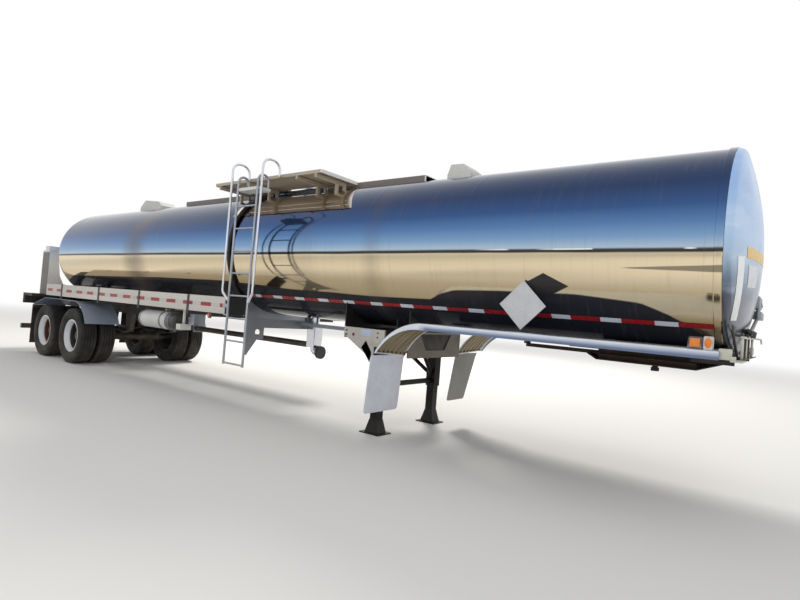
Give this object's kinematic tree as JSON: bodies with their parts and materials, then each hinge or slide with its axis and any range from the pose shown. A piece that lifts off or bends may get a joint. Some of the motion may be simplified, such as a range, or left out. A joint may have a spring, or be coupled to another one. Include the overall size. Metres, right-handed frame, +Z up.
{
  "type": "tanker semi-trailer",
  "caption": "Road tanker semi-trailer: polished cylindrical tank on a tandem axle with twin wheels, side hose trays, ladder, top deck, manway and landing legs.",
  "frame": {"origin": "on the ground below the middle of the trailer's box", "axes": "+X forward to the nose, +Y to the left side, +Z up"},
  "size_m": [13.02, 2.438, 3.246],
  "materials": {
    "black_paint": "gloss black paint",
    "black_plastic": "black cap",
    "black_rubber": "matt black sheet",
    "bright_aluminium": "bright mill finish",
    "bright_steel": "brushed stainless",
    "cabinet_paint": "pale grey paint",
    "coupler_steel": "greasy dark paint with rust",
    "dark_aluminium": "dark ribbed sheet",
    "dark_steel": "satin black paint, dusty",
    "deck_aluminium": "weathered grating",
    "grey_aluminium": "weathered mill finish",
    "hose_rubber": "dark hose",
    "ladder_aluminium": "mill finish tube",
    "pin_steel": "greased steel",
    "polished_steel": "mirror-polished stainless sheet",
    "red_lens": "red lens",
    "tray_aluminium": "pale weathered sheet",
    "tyre_rubber": "dusty black",
    "wheel_paint": "off-white paint, rusty hub",
    "white_paint": "white gloss paint",
    "white_rubber": "off-white sheet"
  },
  "bodies": {
    "trailer": {"air_tank": "white_paint", "air_tank_straps": "dark_steel", "axle_front": "dark_steel", "axle_rear": "dark_steel", "belly_frame": "grey_aluminium", "belly_outlet": "bright_steel", "brakes": "dark_steel", "corner_cabinets": "cabinet_paint", "discharge_pipes": "dark_steel", "drain_hose": "hose_rubber", "front_fenders": "bright_aluminium", "front_flaps": "white_rubber", "front_head": "polished_steel", "front_lamps": "white_paint", "handrails": "bright_steel", "hangers": "dark_steel", "hose_tray_left": "tray_aluminium", "hose_tray_right": "tray_aluminium", "kingpin": "pin_steel", "ladder": "ladder_aluminium", "ladder_step": "white_paint", "landing_legs": "black_paint", "landing_support": "bright_aluminium", "leg_braces": "black_paint", "manway_collar": "bright_steel", "nose_panel": "grey_aluminium", "nose_sill": "grey_aluminium", "outlet_cap": "black_plastic", "placard_holders": "grey_aluminium", "rear_flaps": "black_rubber", "rear_frame": "dark_steel", "rear_lamps": "red_lens", "spill_box": "polished_steel", "springs": "dark_steel", "tail_frame": "dark_steel", "tank_jacket": "polished_steel", "top_hoods": "white_paint", "top_walkway": "grey_aluminium", "tray_arms": "dark_steel", "upper_coupler": "coupler_steel", "wheel_fenders": "bright_aluminium", "work_deck": "deck_aluminium"},
    "manway_lid_body": {"manway_lid": "bright_steel"},
    "tray_door_right_body": {"tray_door_right": "dark_aluminium"},
    "tray_door_left_body": {"tray_door_left": "dark_aluminium"},
    "twin_rear_left": {"tyres_rear_left": "tyre_rubber", "wheel_rear_left": "wheel_paint"},
    "twin_rear_right": {"tyres_rear_right": "tyre_rubber", "wheel_rear_right": "wheel_paint"},
    "twin_front_left": {"tyres_front_left": "tyre_rubber", "wheel_front_left": "wheel_paint"},
    "twin_front_right": {"tyres_front_right": "tyre_rubber", "wheel_front_right": "wheel_paint"}
  },
  "joints": [
    {"name": "wheel_turn_rear_left", "type": "hinge", "parent": "trailer", "child": "twin_rear_left", "pos_m": [-5.18, 0.9115, 0.505], "axis": [0, 1, 0], "continuous": true},
    {"name": "wheel_turn_rear_right", "type": "hinge", "parent": "trailer", "child": "twin_rear_right", "pos_m": [-5.18, -0.9115, 0.505], "axis": [0, 1, 0], "continuous": true},
    {"name": "wheel_turn_front_left", "type": "hinge", "parent": "trailer", "child": "twin_front_left", "pos_m": [-3.935, 0.9115, 0.505], "axis": [0, 1, 0], "continuous": true},
    {"name": "wheel_turn_front_right", "type": "hinge", "parent": "trailer", "child": "twin_front_right", "pos_m": [-3.935, -0.9115, 0.505], "axis": [0, 1, 0], "continuous": true},
    {"name": "manway_lid_open", "type": "hinge", "parent": "trailer", "child": "manway_lid_body", "pos_m": [0.77, 0, 3.165], "axis": [0, -1, 0], "range_deg": [0, 100]},
    {"name": "tray_door_open_right", "type": "hinge", "parent": "trailer", "child": "tray_door_right_body", "pos_m": [0.715, -1.007, 1.195], "axis": [0, 1, 0], "range_deg": [0, 100]},
    {"name": "tray_door_open_left", "type": "hinge", "parent": "trailer", "child": "tray_door_left_body", "pos_m": [0.715, 1.007, 1.195], "axis": [0, 1, 0], "range_deg": [0, 100]}
  ]
}
